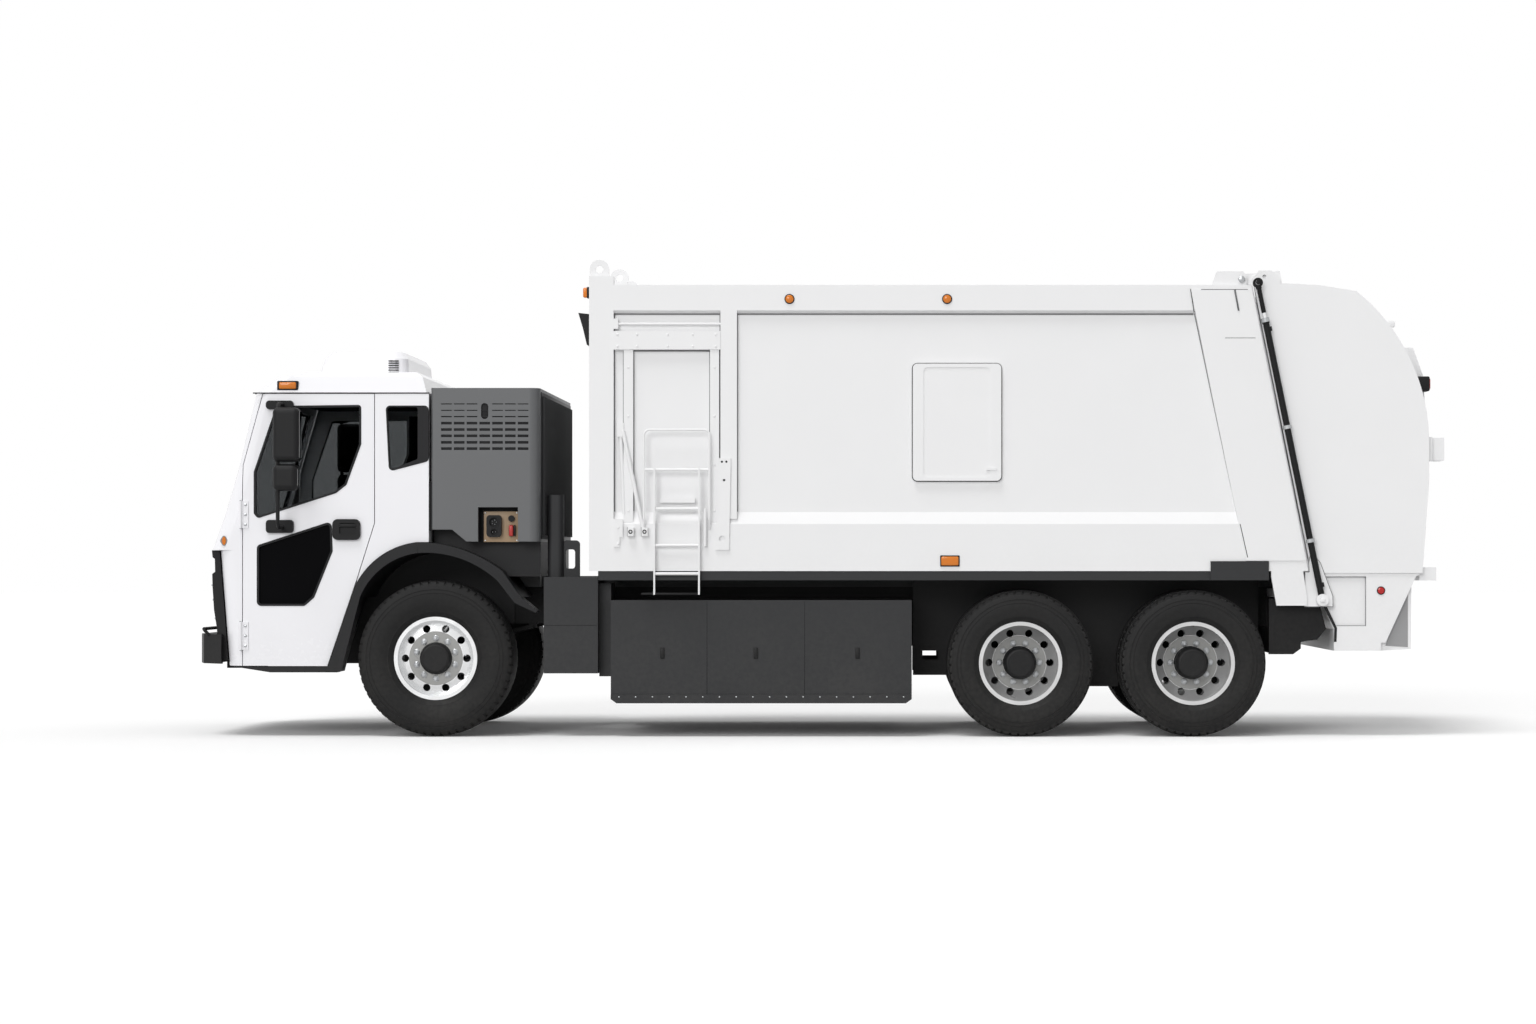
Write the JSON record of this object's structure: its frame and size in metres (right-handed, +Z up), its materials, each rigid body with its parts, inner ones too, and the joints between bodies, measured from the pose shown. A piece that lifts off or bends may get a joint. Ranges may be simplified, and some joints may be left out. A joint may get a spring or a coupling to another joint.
{
  "type": "rear-loading refuse truck",
  "caption": "Rear-loading refuse truck: battery-electric low-entry cab, smooth-sided packer body, lifting tailgate with hopper and packing blade, front steer axle and twin-tyred tandem.",
  "frame": {"origin": "on the ground, at the middle of the truck's length and width", "axes": "+X towards the tailgate (the front faces -X), +Z up, the driver's side is -Y"},
  "size_m": [9.01, 2.9, 3.4218],
  "materials": {
    "cab_paint": "gloss",
    "body_paint": "satin gloss",
    "dark_paint": "satin",
    "grey_paint": "satin",
    "black_paint": "satin",
    "trim": "matte",
    "interior": "matte",
    "seat_fabric": "woven",
    "glass": "clear",
    "lens": "clear",
    "rubber": "matte",
    "polished": "polished",
    "rod": "polished"
  },
  "bodies": {
    "chassis": {"access_ladder": "body_paint", "battery_boxes": "dark_paint", "body_floor": "body_paint", "body_front_wall": "body_paint", "body_roof": "body_paint", "body_side_walls": "body_paint", "body_sills": "dark_paint", "cab_back": "cab_paint", "cab_floor": "trim", "cab_front": "cab_paint", "cab_roof": "cab_paint", "cab_sides": "cab_paint", "charge_port": "trim", "chassis_frame": "black_paint", "dashboard": "interior", "drive_motor": "black_paint", "front_axle": "black_paint", "front_bumper": "black_paint", "front_fenders": "dark_paint", "grille_panel": "trim", "headlamps": "lens", "power_box": "grey_paint", "quarter_glass": "glass", "rear_skirts": "body_paint", "seats": "seat_fabric", "side_boxes": "dark_paint", "tandem_axles": "black_paint", "wheel_liners": "trim", "windshield": "glass"},
    "door_left": {"door_left": "cab_paint", "door_glass_left": "glass", "mirror_left": "trim"},
    "door_right": {"door_right": "cab_paint", "door_glass_right": "glass", "mirror_right": "trim"},
    "knuckle_left": {"knuckle_left": "black_paint"},
    "knuckle_right": {"knuckle_right": "black_paint"},
    "tailgate": {"tailgate_sides": "body_paint", "tailgate_shell": "body_paint", "hopper": "body_paint"},
    "packer_slide": {"packer_slide": "body_paint"},
    "sweep_blade": {"sweep_blade": "body_paint"},
    "ejector_panel": {"ejector_panel": "body_paint"},
    "lift_barrel_left": {"lift_barrel_left": "black_paint"},
    "lift_barrel_right": {"lift_barrel_right": "black_paint"},
    "lift_rod_left": {"lift_rod_left": "rod"},
    "lift_rod_right": {"lift_rod_right": "rod"},
    "wheel_front_left": {"tyre_front_left": "rubber", "wheel_front_left": "polished"},
    "wheel_front_right": {"tyre_front_right": "rubber", "wheel_front_right": "polished"},
    "wheels_rear1_left": {"tyres_rear1_left": "rubber", "wheels_rear1_left": "polished"},
    "wheels_rear1_right": {"tyres_rear1_right": "rubber", "wheels_rear1_right": "polished"},
    "wheels_rear2_left": {"tyres_rear2_left": "rubber", "wheels_rear2_left": "polished"},
    "wheels_rear2_right": {"tyres_rear2_right": "rubber", "wheels_rear2_right": "polished"}
  },
  "joints": [
    {"name": "steer_left", "type": "hinge", "parent": "chassis", "child": "knuckle_left", "pos_m": [-2.75, -0.905, 0.562], "axis": [0, 0, 1], "range_deg": [-36, 36]},
    {"name": "steer_right", "type": "hinge", "parent": "chassis", "child": "knuckle_right", "pos_m": [-2.75, 0.905, 0.562], "axis": [0, 0, 1], "range_deg": [-36, 36]},
    {"name": "spin_front_left", "type": "hinge", "parent": "knuckle_left", "child": "wheel_front_left", "pos_m": [-2.75, -1.03, 0.562], "axis": [0, -1, 0], "continuous": true},
    {"name": "spin_front_right", "type": "hinge", "parent": "knuckle_right", "child": "wheel_front_right", "pos_m": [-2.75, 1.03, 0.562], "axis": [0, -1, 0], "continuous": true},
    {"name": "spin_rear1_left", "type": "hinge", "parent": "chassis", "child": "wheels_rear1_left", "pos_m": [1.449, -0.929, 0.526], "axis": [0, -1, 0], "continuous": true},
    {"name": "spin_rear1_right", "type": "hinge", "parent": "chassis", "child": "wheels_rear1_right", "pos_m": [1.449, 0.929, 0.526], "axis": [0, -1, 0], "continuous": true},
    {"name": "spin_rear2_left", "type": "hinge", "parent": "chassis", "child": "wheels_rear2_left", "pos_m": [2.688, -0.929, 0.526], "axis": [0, -1, 0], "continuous": true},
    {"name": "spin_rear2_right", "type": "hinge", "parent": "chassis", "child": "wheels_rear2_right", "pos_m": [2.688, 0.929, 0.526], "axis": [0, -1, 0], "continuous": true},
    {"name": "door_left", "type": "hinge", "parent": "chassis", "child": "door_left", "pos_m": [-4.149, -1.204, 1.3], "axis": [0, 0, -1], "range_deg": [0, 75]},
    {"name": "door_right", "type": "hinge", "parent": "chassis", "child": "door_right", "pos_m": [-4.149, 1.204, 1.3], "axis": [0, 0, 1], "range_deg": [0, 75]},
    {"name": "tailgate_lift", "type": "hinge", "parent": "chassis", "child": "tailgate", "pos_m": [3.034, 0, 3.281], "axis": [0, -1, 0], "range_deg": [0, 80]},
    {"name": "lift_barrel_left", "type": "hinge", "parent": "chassis", "child": "lift_barrel_left", "pos_m": [3.608, -1.254, 0.982], "axis": [0, -1, 0], "range_deg": [-1, 2]},
    {"name": "lift_rod_left", "type": "slide", "parent": "lift_barrel_left", "child": "lift_rod_left", "axis": [-0.1994, 0, 0.9799], "range_m": [0, 0.16]},
    {"name": "lift_barrel_right", "type": "hinge", "parent": "chassis", "child": "lift_barrel_right", "pos_m": [3.608, 1.254, 0.982], "axis": [0, -1, 0], "range_deg": [-1, 2]},
    {"name": "lift_rod_right", "type": "slide", "parent": "lift_barrel_right", "child": "lift_rod_right", "axis": [-0.1994, 0, 0.9799], "range_m": [0, 0.16]},
    {"name": "packer_slide_travel", "type": "slide", "parent": "tailgate", "child": "packer_slide", "axis": [0.3829, 0, -0.9238], "range_m": [0, 0.7]},
    {"name": "sweep_blade_swing", "type": "hinge", "parent": "packer_slide", "child": "sweep_blade", "pos_m": [3.554, 0, 1.842], "axis": [0, -1, 0], "range_deg": [0, 95]},
    {"name": "ejector_travel", "type": "slide", "parent": "chassis", "child": "ejector_panel", "axis": [1, 0, 0], "range_m": [0, 3.95]}
  ],
  "couplings": [
    {"joint": "steer_right", "follows": "steer_left", "ratio": 1},
    {"joint": "lift_barrel_left", "follows": "tailgate_lift", "ratio": 0.0055734},
    {"joint": "lift_rod_left", "follows": "tailgate_lift", "m_per_rad": 0.10586},
    {"joint": "lift_barrel_right", "follows": "tailgate_lift", "ratio": 0.0055734},
    {"joint": "lift_rod_right", "follows": "tailgate_lift", "m_per_rad": 0.10586}
  ]
}
